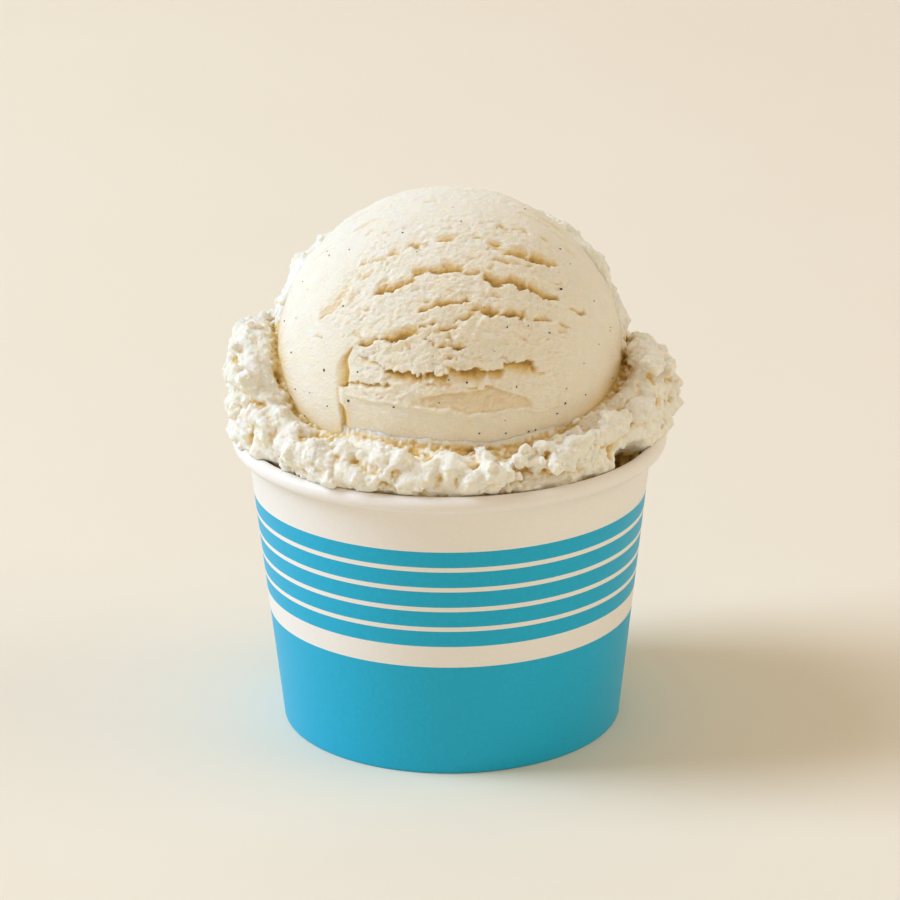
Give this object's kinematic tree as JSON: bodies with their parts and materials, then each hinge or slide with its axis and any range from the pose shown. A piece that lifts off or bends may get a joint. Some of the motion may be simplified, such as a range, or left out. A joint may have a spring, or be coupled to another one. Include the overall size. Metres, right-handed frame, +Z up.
{
  "type": "scooped gelato in a paper cup",
  "caption": "Ball of vanilla gelato with a torn, icy face and a ragged collar pressed over the rim of a striped round paper cup.",
  "frame": {"origin": "middle of the cup's foot, on the surface that the cup stands on", "axes": "+Z up out of the cup, -Y towards the front, where the torn face of the ball shows, +X to the viewer's right"},
  "size_m": [0.0931, 0.0905, 0.1127],
  "materials": {
    "cup_paper": "coated paperboard, satin, white with printed blue bands",
    "base_paper": "plain coated paperboard",
    "vanilla_gelato": "frozen dairy, soft sheen, ragged where torn"
  },
  "bodies": {
    "root": {"cup_wall": "cup_paper", "cup_base": "base_paper", "gelato": "vanilla_gelato"}
  },
  "joints": []
}
